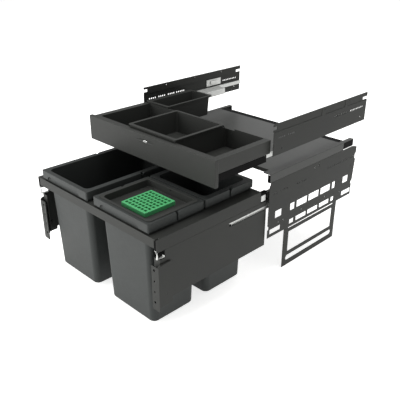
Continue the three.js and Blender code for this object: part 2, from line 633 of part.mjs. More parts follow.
function drawerTray() {
  const ys = [TRAY_FRONT + GAP, TRAY_BACK];
  const floor = block([-TRAY_IN - 1, TRAY_IN + 1], ys, [DRAWER_FLOOR, DRAWER_FLOOR + 2]);
  const front = block([-DRAWER_HALF, DRAWER_HALF], [ys[0], ys[0] + 12], [DRAWER_TOP - 3, DRAWER_TOP]);
  const frontWall = block([-TRAY_IN - 1, TRAY_IN + 1], [ys[0] + 9.6, ys[0] + 12], [DRAWER_FLOOR, DRAWER_TOP]);
  const backWall = block([-DRAWER_HALF, DRAWER_HALF], [TRAY_BACK - 2.5, TRAY_BACK], [411, DRAWER_TOP]);
  const backLower = block([-TRAY_IN - 1, TRAY_IN + 1], [TRAY_BACK - 2.5, TRAY_BACK], [DRAWER_FLOOR, DRAWER_TOP]);
  const walls = sides.flatMap(([, side]) => [
    block(onSide(side, [TRAY_IN - 1.4, TRAY_IN + 1]), ys, [DRAWER_FLOOR, DRAWER_TOP]),
    block(onSide(side, [TRAY_IN - 1.4, DRAWER_HALF]), ys, [DRAWER_TOP - 2.4, DRAWER_TOP]),
    block(onSide(side, [DRAWER_HALF - 2, DRAWER_HALF]), ys, [411, DRAWER_TOP]),
    block(onSide(side, PARTITION_X), ys, [DRAWER_FLOOR, DRAWER_TOP]),
  ]);
  const cableCut = extrudeAcross(roundedRectangle([TRAY_BACK - 6, TRAY_BACK + 6], [DRAWER_TOP - 5, DRAWER_TOP + 5], 3),
    [94, 136]);
  return cut(union(floor, front, frontWall, backWall, backLower, ...walls), cableCut);
}

const FRONT_HALF = 276;
const FRONT_Z = [376, 453.5];
const GRIP_HALF = 38;             // half width of the shallow grip recess
const GRIP_CENTRE = { x: -1.2, z: 434 };

function drawerFront() {
  const panel = block([-FRONT_HALF, FRONT_HALF], [DRAWER_FRONT_Y, TRAY_FRONT], FRONT_Z);
  const hollow = block(inset([-FRONT_HALF, FRONT_HALF], 2.5), [DRAWER_FRONT_Y + 2.5, TRAY_FRONT + 1],
    [FRONT_Z[0] - 1, FRONT_Z[1] - 3]);
  const arch = new THREE.Shape();
  arch.moveTo(-GRIP_HALF, 0);
  arch.quadraticCurveTo(0, 11, GRIP_HALF, 0);
  arch.quadraticCurveTo(0, -11, -GRIP_HALF, 0);
  const recess = new THREE.ExtrudeGeometry(arch, { depth: 2, bevelEnabled: false, curveSegments: 8 });
  recess.rotateX(Math.PI / 2);
  recess.translate(GRIP_CENTRE.x, DRAWER_FRONT_Y + 1, GRIP_CENTRE.z);
  return cut(panel, hollow, solid(recess));
}

// A plain oval badge without any mark on it.
function drawerBadge() {
  const oval = new THREE.Shape();
  oval.absellipse(0, 0, 9, 4.2, 0, Math.PI * 2);
  const plate = new THREE.ExtrudeGeometry(oval, { depth: 0.8, bevelEnabled: false, curveSegments: 10 });
  plate.rotateX(Math.PI / 2);
  plate.translate(GRIP_CENTRE.x - 2, DRAWER_FRONT_Y + 0.9, GRIP_CENTRE.z - 0.3);
  return solid(plate);
}

addPiece(drawer, 'drawer_tray', drawerTray(), 'drawerPlastic');
addPiece(drawer, 'drawer_front', drawerFront(), 'drawerPlastic');
addPiece(drawer, 'drawer_badge', drawerBadge(), 'badgeMetal');

// A lift-out box: a tapered body that hangs by its flat rim.
function liftOutBox({ rimX, rimY, bodyX, bodyY, bottom, rimBottom, top }) {
  const taper = 4;
  const wall = 2;
  const outer = taperedBody(
    { x: bodyX, y: bodyY, radius: 6 },
    { x: inset(bodyX, taper), y: inset(bodyY, taper) },
    [bottom, top],
  );
  const inner = taperedBody(
    { x: inset(bodyX, wall), y: inset(bodyY, wall), radius: 5 },
    { x: inset(bodyX, taper + wall), y: inset(bodyY, taper + wall) },
    [bottom + wall, top + 1],
  );
  const rim = extrudeUp(roundedRectangle(rimX, rimY, 4), [rimBottom, top], 2);
  return cut(union(outer, rim), inner);
}

const insertBox = {
  rimX: [-105, 105], rimY: [21, 218], bodyX: [-97, 97], bodyY: [29, 212],
  bottom: 390, rimBottom: DRAWER_TOP + GAP, top: 460,
};
// The rear box hooks over the tray's back wall and slides between the runners with the drawer.
const rearBox = {
  rimX: [-268, -156], rimY: [227, 434], bodyX: [-249, -161], bodyY: [232, 428],
  bottom: 386, rimBottom: DRAWER_TOP + GAP, top: 457,
};

addPiece(drawer, 'insert_box', liftOutBox(insertBox), 'drawerPlastic');
addPiece(drawer, 'rear_box', liftOutBox(rearBox), 'drawerPlastic');

// ---------------------------------------------------------------- drawer runners

const DRAWER_ARM_Z = [407.2, 409];
const DRAWER_RUNNER_FRONT = 15;   // the fixed member starts behind the closed drawer's front
const DRAWER_TRACK_Y = [DRAWER_RUNNER_FRONT, 222];

// The cabinet member reaches in under the tray's side and hangs its blade into the drawer member.
// A long bar stiffens the wall plate, and a housing behind the drawer holds the soft-close unit.
function drawerRunnerFixed(side) {
  const outer = WALL_PLATE_IN - GAP;
  const web = block(onSide(side, [278.6, outer]), DRAWER_TRACK_Y, [DRAWER_ARM_Z[0], 441]);
  const arm = block(onSide(side, [258, outer]), DRAWER_TRACK_Y, DRAWER_ARM_Z);
  const blade = block(onSide(side, [258, 259.6]), DRAWER_TRACK_Y, [391, DRAWER_ARM_Z[1]]);
  const bar = block(onSide(side, [274.5, outer]), [DRAWER_RUNNER_FRONT, LENGTH_BACK - 3], [428, 441]);
  const housing = block(onSide(side, [253, outer]), [232, 384], [412, 434]);
  return union(web, arm, blade, bar, housing);
}

function drawerRunnerMiddle(side) {
  const ys = [14, 300];
  const web = block(onSide(side, [254.4, 256]), ys, [387.4, 405.4]);
  const roof = block(onSide(side, [254.4, 257.4]), ys, [403.8, 405.4]);
  const foot = block(onSide(side, [254.4, 257.4]), ys, [387.4, 389]);
  return union(web, roof, foot);
}

// The drawer member: a dark channel under the tray's side, open upwards, that hides the other two.
function drawerRunnerInner(side) {
  const ys = [TRAY_FRONT + GAP, TRAY_BACK - 8];
  const web = block(onSide(side, [252, 253.6]), ys, [385, 410.6]);
  const hanger = block(onSide(side, [252, 256.4]), ys, [409.4, 410.6]);
  const floor = block(onSide(side, [252, 264.5]), ys, [385, 386.6]);
  const skirt = block(onSide(side, [262.9, 264.5]), ys, [385, 406.4]);
  return union(web, hanger, floor, skirt);
}

for (const [label, side] of sides) {
  addPiece(cabinetFixed, `drawer_runner_fixed_${label}`, drawerRunnerFixed(side), 'zincSteel');
  addPiece(drawerMiddle, `drawer_runner_middle_${label}`, drawerRunnerMiddle(side), 'zincSteel');
  addPiece(drawer, `drawer_runner_inner_${label}`, drawerRunnerInner(side), 'blackPlastic');
}

export default sorter;
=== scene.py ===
"""Pull-out waste sorter for a kitchen cabinet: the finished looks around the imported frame.

Lengths are millimetres until a shape is placed; MM turns them to metres. Ranges are (low, high)
pairs along X, Y and Z, and most of them are worked out from a frame node's own box.
"""
import json
import math

import bmesh
import bpy
from mathutils import Matrix, Vector


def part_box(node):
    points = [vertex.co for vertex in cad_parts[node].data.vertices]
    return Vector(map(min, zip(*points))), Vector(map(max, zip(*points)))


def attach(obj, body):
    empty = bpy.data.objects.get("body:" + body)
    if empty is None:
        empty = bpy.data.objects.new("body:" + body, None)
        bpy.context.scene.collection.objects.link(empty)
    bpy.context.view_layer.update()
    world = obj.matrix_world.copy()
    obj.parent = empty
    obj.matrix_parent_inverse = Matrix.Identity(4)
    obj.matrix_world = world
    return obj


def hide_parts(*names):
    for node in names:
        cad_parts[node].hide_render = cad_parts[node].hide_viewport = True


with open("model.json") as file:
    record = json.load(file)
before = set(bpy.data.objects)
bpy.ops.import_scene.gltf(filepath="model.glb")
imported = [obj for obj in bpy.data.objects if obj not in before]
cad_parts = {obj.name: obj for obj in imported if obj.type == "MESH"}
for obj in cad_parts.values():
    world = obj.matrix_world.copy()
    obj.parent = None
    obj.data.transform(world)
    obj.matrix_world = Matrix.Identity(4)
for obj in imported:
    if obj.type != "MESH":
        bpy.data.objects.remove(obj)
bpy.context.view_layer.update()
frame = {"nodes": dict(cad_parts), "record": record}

MM = 0.001

# ---------------------------------------------------------------- the camera and the light

CAMERA_PLACE = (1.18976, -1.21567, 0.98484)
CAMERA_AZIMUTH = 45.3
CAMERA_ELEVATION = 25.8
FOCAL_LENGTH = 50.7          # mm on a 36 mm wide sensor


def make_camera():
    azimuth, elevation = math.radians(CAMERA_AZIMUTH), math.radians(CAMERA_ELEVATION)
    forward = Vector((
        -math.sin(azimuth) * math.cos(elevation),
        math.cos(azimuth) * math.cos(elevation),
        -math.sin(elevation),
    ))
    data = bpy.data.cameras.new("camera")
    data.lens = FOCAL_LENGTH
    data.sensor_width = 36
    camera = bpy.data.objects.new("camera", data)
    camera.location = CAMERA_PLACE
    camera.rotation_mode = "QUATERNION"
    camera.rotation_quaternion = forward.to_track_quat("-Z", "Y")
    bpy.context.scene.collection.objects.link(camera)
    bpy.context.scene.camera = camera


def soft_light(name, place, aim, size, watts):
    """A square area light that looks at a point."""
    data = bpy.data.lights.new(name, "AREA")
    data.size = size
    data.energy = watts
    light = bpy.data.objects.new(name, data)
    light.location = place
    light.rotation_mode = "QUATERNION"
    light.rotation_quaternion = (Vector(aim) - Vector(place)).to_track_quat("-Z", "Y")
    bpy.context.scene.collection.objects.link(light)


def make_studio():
    """A white surround that is bright to look at and gives a dimmer, even light."""
    world = bpy.data.worlds.new("studio")
    world.use_nodes = True
    background = world.node_tree.nodes["Background"]
    background.inputs["Color"].default_value = linear("#ffffff")
    seen = add_node(world.node_tree, "ShaderNodeLightPath", {}).outputs["Is Camera Ray"]
    world.node_tree.links.new(ranged(world.node_tree, seen, 0.52, 1.0), background.inputs["Strength"])
    scene = bpy.context.scene
    scene.world = world
    scene.view_settings.view_transform = "Standard"
    middle = (0, 0, 0.25)
    soft_light("key", (-1.2, -2.8, 1.0), middle, 2.6, 92)
    soft_light("back", (-1.25, 2.45, 1.35), (0.2, 0.25, 0.35), 1.2, 3)
    soft_light("top", (0.1, 0.1, 3.0), middle, 1.6, 55)
    bpy.ops.mesh.primitive_plane_add(size=14, location=(0, 0, -0.0005))
    floor = bpy.context.object
    floor.name = "floor"
    paper, tree, shader = new_material("matt_white_paper_roll")
    shader.inputs["Base Color"].default_value = linear("#f4f4f2")
    shader.inputs["Roughness"].default_value = 0.9
    shader.inputs["Emission Color"].default_value = linear("#ffffff")
    shader.inputs["Emission Strength"].default_value = 0.72
    floor.data.materials.append(paper)


# ---------------------------------------------------------------- materials

def linear(code):
    """An sRGB colour such as #3d3e3d as linear RGBA."""
    channels = [int(code[i:i + 2], 16) / 255 for i in (1, 3, 5)]
    return (*[c / 12.92 if c <= 0.04045 else ((c + 0.055) / 1.055) ** 2.4 for c in channels], 1)


def new_material(name):
    made = bpy.data.materials.new(name)
    made.use_nodes = True
    return made, made.node_tree, made.node_tree.nodes["Principled BSDF"]


def add_node(tree, kind, inputs, **settings):
    """One node with its settings; an input is a value or another node's output."""
    made = tree.nodes.new(kind)
    for key, value in settings.items():
        setattr(made, key, value)
    for key, value in inputs.items():
        if isinstance(value, bpy.types.NodeSocket):
            tree.links.new(value, made.inputs[key])
        else:
            made.inputs[key].default_value = value
    return made


def surface_points(tree, stretch=(1, 1, 1)):
    """Places on the object in millimetres, drawn out along the axes by a stretch."""
    place = add_node(tree, "ShaderNodeTexCoord", {}).outputs["Object"]
    scale = [1 / (MM * s) for s in stretch]
    return add_node(tree, "ShaderNodeMapping", {"Vector": place, "Scale": scale}).outputs["Vector"]


def tinted(tree, points, size, low, high):
    """A colour that drifts between two tints over a size in millimetres."""
    cloud = add_node(tree, "ShaderNodeTexNoise", {"Vector": points, "Scale": 1 / size, "Detail": 2.0})
    mix = add_node(tree, "ShaderNodeMix", {"Factor": cloud.outputs["Fac"]}, data_type="RGBA")
    mix.inputs[6].default_value = linear(low)
    mix.inputs[7].default_value = linear(high)
    return mix.outputs[2]


def ranged(tree, value, low, high):
    """A value between 0 and 1 brought between two others."""
    limits = {"Value": value, "To Min": low, "To Max": high}
    return add_node(tree, "ShaderNodeMapRange", limits).outputs["Result"]


def raised(tree, height, depth, normal=None):
    """Relief of a depth in millimetres from a height between 0 and 1."""
    inputs = {"Height": height, "Strength": 1.0, "Distance": depth * MM}
    if normal is not None:
        inputs["Normal"] = normal
    return add_node(tree, "ShaderNodeBump", inputs).outputs["Normal"]


def powder_coated_steel(name, low, high, roughness):
    """Steel sheet with baked-on powder: an even satin skin with a faint orange peel.

    Real orange peel is about 1 mm across; it is drawn 2.5 mm wide so that it shows."""
    made, tree, shader = new_material(name)
    points = surface_points(tree)
    tree.links.new(tinted(tree, points, 90, low, high), shader.inputs["Base Color"])
    peel = add_node(tree, "ShaderNodeTexNoise", {"Vector": points, "Scale": 1 / 2.5, "Detail": 1.0})
    grit = add_node(tree, "ShaderNodeTexNoise", {"Vector": points, "Scale": 1 / 0.7, "Detail": 2.0})
    gloss = ranged(tree, grit.outputs["Fac"], roughness - 0.05, roughness + 0.05)
    tree.links.new(gloss, shader.inputs["Roughness"])
    skin = raised(tree, peel.outputs["Fac"], 0.05)
    tree.links.new(raised(tree, grit.outputs["Fac"], 0.012, skin), shader.inputs["Normal"])
    shader.inputs["Specular IOR Level"].default_value = 0.15
    return made


def moulded_plastic(name, low, high, roughness, grain=1.1, depth=0.03, shine=0.17):
    """Injection-moulded polypropylene: a fine spark-eroded grain and slightly uneven gloss."""
    made, tree, shader = new_material(name)
    points = surface_points(tree)
    tree.links.new(tinted(tree, points, 120, low, high), shader.inputs["Base Color"])
    cells = add_node(tree, "ShaderNodeTexVoronoi", {"Vector": points, "Scale": 1 / grain})
    haze = add_node(tree, "ShaderNodeTexNoise", {"Vector": points, "Scale": 1 / 14, "Detail": 3.0})
    gloss = ranged(tree, haze.outputs["Fac"], roughness - 0.06, roughness + 0.06)
    tree.links.new(gloss, shader.inputs["Roughness"])
    tree.links.new(raised(tree, cells.outputs["Distance"], depth), shader.inputs["Normal"])
    shader.inputs["Specular IOR Level"].default_value = shine
    return made


def rolled_zinc_steel(name, low, high, roughness):
    """Zinc-plated strip, rolled along its length: fine lines along Y under a cloudy plating."""
    made, tree, shader = new_material(name)
    points = surface_points(tree)
    tree.links.new(tinted(tree, points, 16, low, high), shader.inputs["Base Color"])
    drawn = surface_points(tree, (1, 60, 1))
    lines = add_node(tree, "ShaderNodeTexNoise", {"Vector": drawn, "Scale": 1 / 0.8, "Detail": 2.0})
    tree.links.new(ranged(tree, lines.outputs["Fac"], roughness - 0.08, roughness + 0.1),
                   shader.inputs["Roughness"])
    tree.links.new(raised(tree, lines.outputs["Fac"], 0.015), shader.inputs["Normal"])
    shader.inputs["Metallic"].default_value = 0.85
    return made


def charcoal_foam(name):
    """Open-cell foam loaded with activated carbon: black, with pores about 2 mm wide whose hollows are
    painted darker as painted shade.
    """
    made, tree, shader = new_material(name)
    points = surface_points(tree)
    pores = add_node(tree, "ShaderNodeTexVoronoi", {"Vector": points, "Scale": 1 / 2.0})
    # the pore hollows, low in the bump, are painted darker than their rims: painted shade
    mix = add_node(tree, "ShaderNodeMix", {"Factor": pores.outputs["Distance"]}, data_type="RGBA")
    mix.inputs[6].default_value = linear("#050505")
    mix.inputs[7].default_value = linear("#262625")
    tree.links.new(mix.outputs[2], shader.inputs["Base Color"])
    tree.links.new(raised(tree, pores.outputs["Distance"], 0.8), shader.inputs["Normal"])
    shader.inputs["Roughness"].default_value = 0.95
    return made


def polished_badge(name):
    """Zinc die casting, polished and chromed: bright with a few hairline marks."""
    made, tree, shader = new_material(name)
    points = surface_points(tree, (8, 1, 1))
    hairs = add_node(tree, "ShaderNodeTexNoise", {"Vector": points, "Scale": 1 / 0.5, "Detail": 2.0})
    tree.links.new(ranged(tree, hairs.outputs["Fac"], 0.14, 0.26), shader.inputs["Roughness"])
    shader.inputs["Base Color"].default_value = linear("#d8d9d7")
    shader.inputs["Metallic"].default_value = 1.0
    return made


FINISHES = {
    "steel_anthracite": powder_coated_steel("powder_coated_steel_anthracite", "#282928", "#2c2d2a", 0.5),
    "shelf_anthracite": powder_coated_steel("powder_coated_steel_smooth", "#393a39", "#3d3e3c", 0.36),
    "bin_plastic": moulded_plastic("moulded_polypropylene_grey", "#2d2f2e", "#323534", 0.46),
    "drawer_plastic": moulded_plastic("moulded_polypropylene_anthracite", "#2c2d2b", "#313230", 0.5),
    "black_plastic": moulded_plastic("moulded_nylon_black", "#050505", "#0a0a0a", 0.55, shine=0.04),
    "runner_steel": rolled_zinc_steel("rolled_zinc_plated_steel", "#bcbdbb", "#cccdcb", 0.5),
    "screw_steel": rolled_zinc_steel("zinc_plated_screw_steel", "#2e2f2d", "#3a3b39", 0.4),
    "grid_green": moulded_plastic("moulded_abs_green", "#46995f", "#50a46d", 0.42, 0.8, 0.02),
    "filter_foam": charcoal_foam("activated_carbon_foam"),
    "badge_metal": polished_badge("polished_zinc_casting"),
}

# ---------------------------------------------------------------- shaping tools

RECORD = frame["record"]
SLOT_OF = {row["node"]: row["material_slot"] for row in RECORD["subparts"]}
BODY_OF = {node: body for body, nodes in RECORD["behaviour"]["bodies"].items() for node in nodes}
UP, ACROSS, ALONG = Vector((0, 0, 1)), Vector((1, 0, 0)), Vector((0, 1, 0))


def span(node):
    """A frame node's ranges along X, Y and Z in millimetres."""
    low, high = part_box(node)
    return [(low[i] / MM, high[i] / MM) for i in range(3)]


def inset(ends, amount):
    return ends[0] + amount, ends[1] - amount


def only(piece):
    """Leaves one piece selected and active."""
    bpy.ops.object.select_all(action="DESELECT")
    piece.select_set(True)
    bpy.context.view_layer.objects.active = piece


def placed(name):
    """The new primitive gets its name, and its place goes into its mesh."""
    piece = bpy.context.object
    piece.name = name
    bpy.ops.object.transform_apply(location=True, rotation=True, scale=True)
    return piece


def block(name, xs, ys, zs):
    bpy.ops.object.select_all(action="DESELECT")
    centre = [(low + high) / 2 * MM for low, high in (xs, ys, zs)]
    bpy.ops.mesh.primitive_cube_add(size=1, location=centre)
    bpy.context.object.scale = [(high - low) * MM for low, high in (xs, ys, zs)]
    return placed(name)


def pin(name, axis, centre, radius, length, sides=24):
    """A cylinder along an axis; an oval has a radius for each of its two directions."""
    bpy.ops.object.select_all(action="DESELECT")
    turned = {"X": (0, math.pi / 2, 0), "Y": (math.pi / 2, 0, 0), "Z": (0, 0, 0)}[axis]
    bpy.ops.mesh.primitive_cylinder_add(
        vertices=sides, radius=radius * MM, depth=length * MM,
        location=[c * MM for c in centre], rotation=turned,
    )
    return placed(name)


def choose(piece, kind, test):
    """Selects in edit mode what passes a test on its middle in millimetres and on its direction."""
    only(piece)
    bpy.ops.object.mode_set(mode="EDIT")
    bpy.ops.mesh.select_mode(type=kind)
    bpy.ops.mesh.select_all(action="DESELECT")
    mesh = bmesh.from_edit_mesh(piece.data)
    if kind == "VERT":
        found = [(v, v.co / MM, v.normal) for v in mesh.verts]
    elif kind == "EDGE":
        ends = [(e, e.verts[0].co, e.verts[1].co) for e in mesh.edges]
        found = [(e, (start + end) / 2 / MM, end - start) for e, start, end in ends]
    else:
        found = [(f, f.calc_center_median() / MM, f.normal) for f in mesh.faces]
    for item, middle, direction in found:
        if test(middle, direction):
            item.select_set(True)
    bmesh.update_edit_mesh(piece.data)


def runs(direction, axis):
    """True for an edge that runs along an axis."""
    return abs(direction.normalized().dot(axis)) > 0.97


def round_edges(piece, radius, segments, test):
    choose(piece, "EDGE", test)
    bpy.ops.mesh.bevel(offset=radius * MM, segments=segments, affect="EDGES")
    bpy.ops.object.mode_set(mode="OBJECT")
    return piece


def tapered(name, top_xs, top_ys, bottom_xs, bottom_ys, zs, radius, foot=0):
    """A block that narrows downwards, with round upright edges and a round foot."""
    piece = block(name, top_xs, top_ys, zs)
    choose(piece, "VERT", lambda middle, normal: middle.z < zs[0] + 1)
    factors = [(b[1] - b[0]) / (t[1] - t[0]) for b, t in ((bottom_xs, top_xs), (bottom_ys, top_ys))]
    centre = (sum(bottom_xs) / 2 * MM, sum(bottom_ys) / 2 * MM, zs[0] * MM)
    bpy.ops.transform.resize(value=(*factors, 1), center_override=centre)
    bpy.ops.object.mode_set(mode="OBJECT")
    round_edges(piece, radius, 8, lambda middle, way: abs(way.normalized().z) > 0.8)
    if foot:
        round_edges(piece, foot, 4, lambda middle, way: middle.z < zs[0] + 0.01)
    return piece


def modified(piece, kind, **settings):
    """Adds a modifier to a piece and applies it."""
    only(piece)
    made = piece.modifiers.new(kind.lower(), kind)
    for key, value in settings.items():
        setattr(made, key, value)
    bpy.ops.object.modifier_apply(modifier=made.name)
    return piece


def combined(piece, operation, others):
    for other in others:
        modified(piece, "BOOLEAN", operation=operation, solver="EXACT", object=other)
        bpy.data.objects.remove(other)
    return piece


def cut_away(piece, *tools):
    return combined(piece, "DIFFERENCE", tools)


def join_on(piece, *additions):
    return combined(piece, "UNION", additions)


def gathered(tools):
    """Separate cutting tools as one object, so that they cut in one go."""
    bpy.ops.object.select_all(action="DESELECT")
    for tool in tools:
        tool.select_set(True)
    bpy.context.view_layer.objects.active = tools[0]
    bpy.ops.object.join()
    return tools[0]


def merged(piece):
    """Joins doubled points, turns the faces outwards and dissolves the lines inside flat faces."""
    choose(piece, "VERT", lambda middle, normal: True)
    bpy.ops.mesh.remove_doubles(threshold=0.02 * MM)
    bpy.ops.mesh.normals_make_consistent(inside=False)
    bpy.ops.mesh.dissolve_limited(angle_limit=math.radians(0.5))
    bpy.ops.object.mode_set(mode="OBJECT")
    return piece


def taken_from(node, name):
    """A merged copy of a frame node, to be worked on as a piece of its own."""
    piece = bpy.data.objects.new(name, frame["nodes"][node].data.copy())
    bpy.context.scene.collection.objects.link(piece)
    return merged(piece)


def soften(piece, width, segments=2, angle=38):
    """Takes the sharpness off the edges and shades the piece smoothly between them."""
    modified(piece, "BEVEL", width=width * MM, segments=segments, limit_method="ANGLE",
             angle_limit=math.radians(angle), use_clamp_overlap=True)
    bpy.ops.object.shade_smooth()
    return modified(piece, "WEIGHTED_NORMAL", keep_sharp=True)


def put(piece, *nodes):
    """The piece stands for frame nodes: it moves with their body and takes their finish."""
    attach(piece, BODY_OF[nodes[0]])
    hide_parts(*nodes)
    piece.data.materials.clear()
    piece.data.materials.append(FINISHES[SLOT_OF[nodes[0]]])
    for face in piece.data.polygons:
        face.material_index = 0


def add_to_body(piece, body, slot):
    """A small piece without a frame node of its own rides on a body in a finish of the record."""
    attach(piece, body)
    piece.data.materials.clear()
    piece.data.materials.append(FINISHES[slot])


# ---------------------------------------------------------------- bins

RIM_HEIGHT = 23
RIM_WALL = 3
BIN_WALL = 2.4
BODY_TOP_INSET = (15, 11.5)
BODY_FOOT_INSET = (20, 22)


def bin_notch(x, middle, bottom, top):
    """A narrow slot across the side of a rim; its rear top corner is well rounded."""
    across = (x - 8, x + 8)
    slot = block("slot", across, (middle - 3, middle + 2.5), (bottom - 1, top + 1))
    flare = block("flare", across, (middle + 2.4, middle + 12.5), (top - 10, top + 1))
    round_off = pin("round_off", "X", (x, middle + 12.5, top - 10), 10, 17)
    return join_on(slot, cut_away(flare, round_off))


def waste_bin(node):
    """A tapered bin under a hollow rim, with a finger recess in the rim's front and side notches."""
    xs, ys, (bottom, top) = span(node)
    skirt = top - RIM_HEIGHT
    rim = block(f"{node}_shell", xs, ys, (skirt, top))
    round_edges(rim, 5, 5, lambda middle, way: runs(way, UP))
    round_edges(rim, 5, 4, lambda middle, way: middle.z > top - 0.1 and middle.y < ys[0] + 0.1)
    round_edges(rim, 1.6, 3, lambda middle, way: middle.z > top - 0.1 and middle.y > ys[0] + 6)
    hollow = block("hollow", inset(xs, RIM_WALL), inset(ys, RIM_WALL), (skirt - 1, top - RIM_WALL))
    cut_away(rim, round_edges(hollow, 3, 3, lambda middle, way: runs(way, UP)))
    rest = block("rest", inset(xs, 6), inset(ys, 6.5), (skirt - 7.7, skirt + 13))
    cut_away(rest, block("rest_hollow", inset(xs, 8), inset(ys, 8.5), (skirt - 9, skirt + 11)))
    body_top = [inset(ends, by) for ends, by in zip((xs, ys), BODY_TOP_INSET)]
    body_foot = [inset(ends, by) for ends, by in zip((xs, ys), BODY_FOOT_INSET)]
    body = tapered("body", *body_top, *body_foot, (bottom, top - 1), 18, 6)
    mouth_top = [inset(ends, BIN_WALL) for ends in body_top]
    mouth_foot = [inset(ends, BIN_WALL) for ends in body_foot]
    mouth = tapered("mouth", *mouth_top, *mouth_foot, (bottom + BIN_WALL, top + 1), 15.6, 5)
    width = xs[1] - xs[0]
    grip = block("grip", (xs[0] + 0.13 * width, xs[0] + 0.83 * width), (ys[0] - 1, ys[0] + RIM_WALL + 0.5),
                 (skirt - 4, skirt + 11))
    round_edges(grip, 10, 6, lambda middle, way: runs(way, ALONG) and middle.z > skirt)
    middle_y = sum(ys) / 2
    notches = [bin_notch(x, middle_y, skirt, top) for x in xs]
    join_on(rim, rest, body)
    cut_away(rim, mouth, grip, *notches)
    soften(rim, 0.8, 2)
    put(rim, node)


# ---------------------------------------------------------------- filter lid and grid

def filter_lid():
    """A sunken tray on a thin lip, with a vented well under the grid and a catch slot in its rear wall."""
    xs, ys, (bottom, top) = span("filter_lid")
    well_xs, well_ys = [inset(ends, 3) for ends in span("filter_grid")[:2]]
    floor = span("filter_grid")[2][0] - 0.3
    tray_xs, tray_ys = inset(xs, 10.4), inset(ys, 6)
    lid = block("filter_lid_tray", xs, ys, (top - 1.7, top))
    round_edges(lid, 11, 6, lambda middle, way: runs(way, UP))
    tray = block("tray", tray_xs, tray_ys, (floor - 2, top - 0.5))
    round_edges(tray, 15.5, 8, lambda middle, way: runs(way, UP))
    well = block("well", well_xs, well_ys, (bottom, floor - 1))
    cavity = block("cavity", inset(tray_xs, 2), inset(tray_ys, 2), (floor, top + 1))
    round_edges(cavity, 13.5, 8, lambda middle, way: runs(way, UP) and middle.y < sum(ys) / 2)
    round_edges(cavity, 9, 6, lambda middle, way: runs(way, UP) and middle.y > sum(ys) / 2 + 10)
    round_edges(cavity, 2.5, 4, lambda middle, way: middle.z < floor + 0.1)
    well_space = block("well_space", inset(well_xs, 2), inset(well_ys, 2), (floor - 9, floor + 1))
    catch = block("catch", (sum(xs) / 2 - 3, sum(xs) / 2 + 3), (tray_ys[1] - 4, tray_ys[1] + 1),
                  (top - 7, top - 3))
    vents = []
    for column in range(4):
        x = well_xs[0] + 11 + column * 21
        vent = block("vent", (x, x + 8), inset(well_ys, 9), (bottom - 1, bottom + 3))
        vents.append(round_edges(vent, 3.5, 4, lambda middle, way: runs(way, UP)))
    join_on(lid, tray, well)
    cut_away(lid, cavity, well_space, catch, gathered(vents))
    soften(lid, 0.6, 2)
    put(lid, "filter_lid")


def filter_grid():
    """A square grid of seven by seven holes in a thick plate with rounded edges."""
    xs, ys, (bottom, top) = span("filter_grid")
    border, hole, count = 5, 4.7, 7
    plate = block("filter_grid_plate", xs, ys, (bottom, top))
    round_edges(plate, 2.5, 4, lambda middle, way: runs(way, UP))
    round_edges(plate, 1.5, 3, lambda middle, way: middle.z > top - 0.1)
    first = [ends[0] + border + (ends[1] - ends[0] - 2 * border) / count / 2 for ends in (xs, ys)]
    pitch = [(ends[1] - ends[0] - 2 * border) / count for ends in (xs, ys)]
    holes = []
    for column in range(count):
        for row in range(count):
            x, y = first[0] + column * pitch[0], first[1] + row * pitch[1]
            tool = block("hole", (x - hole, x + hole), (y - hole, y + hole), (bottom - 1, top + 1))
            holes.append(round_edges(tool, 1.2, 2, lambda middle, way: runs(way, UP)))
    cut_away(plate, gathered(holes))
    soften(plate, 0.4, 2)
    put(plate, "filter_grid")


def filter_pad():
    """A cut pad of foam with slightly crushed edges."""
    piece = taken_from("filter_pad", "filter_pad_foam")
    soften(piece, 1.2, 3)
    put(piece, "filter_pad")


# ---------------------------------------------------------------- drawer

GRIP_HALF = 38                  # half width of the shallow finger recess in the drawer's front
GRIP_DROP = 19.5                # from the front's top edge down to the recess's middle


def drawer_front():
    """A hollow front with softly rounded edges and a shallow scoop around the badge."""
    xs, ys, (bottom, top) = span("drawer_front")
    panel = block("drawer_front_panel", xs, ys, (bottom, top))
    round_edges(panel, 1.6, 4, lambda middle, way: runs(way, UP) or middle.z > top - 0.1)
    hollow = block("hollow", inset(xs, 2.5), (ys[0] + 2.5, ys[1] + 1), (bottom - 1, top - 3))
    cut_away(panel, hollow)
    bpy.ops.object.select_all(action="DESELECT")
    centre = ((sum(xs) / 2 - 1.2) * MM, ys[0] * MM, (top - GRIP_DROP) * MM)
    bpy.ops.mesh.primitive_uv_sphere_add(segments=64, ring_count=32, radius=1, location=centre)
    bpy.context.object.scale = (GRIP_HALF * MM, 2.1 * MM, 6.2 * MM)
    cut_away(panel, placed("scoop"))
    soften(panel, 0.5, 2)
    put(panel, "drawer_front")


def drawer_badge():
    """A small oval badge with a domed edge."""
    xs, ys, zs = span("drawer_badge")
    centre = [sum(ends) / 2 for ends in (xs, ys, zs)]
    badge = pin("drawer_badge_oval", "Y", centre, 1, ys[1] - ys[0], 48)
    choose(badge, "VERT", lambda middle, normal: True)
    factors = ((xs[1] - xs[0]) / 2, 1, (zs[1] - zs[0]) / 2)
    bpy.ops.transform.resize(value=factors, center_override=[c * MM for c in centre])
    bpy.ops.object.mode_set(mode="OBJECT")
    round_edges(badge, 0.35, 3, lambda middle, way: middle.y < centre[1] and not runs(way, ALONG))
    soften(badge, 0.1, 1)
    put(badge, "drawer_badge")


def drawer_tray():
    """The moulded tray: its compartments have rounded upright corners."""
    xs, ys, (bottom, top) = span("drawer_tray")
    piece = taken_from("drawer_tray", "drawer_tray_moulding")
    inner = inset(xs, 15)
    round_edges(piece, 4, 5, lambda middle, way: runs(way, UP) and way.length > 45 * MM
                and inner[0] < middle.x < inner[1] and middle.y < ys[1] - 1 and middle.y > ys[0] + 5)
    soften(piece, 0.7, 3)
    put(piece, "drawer_tray")


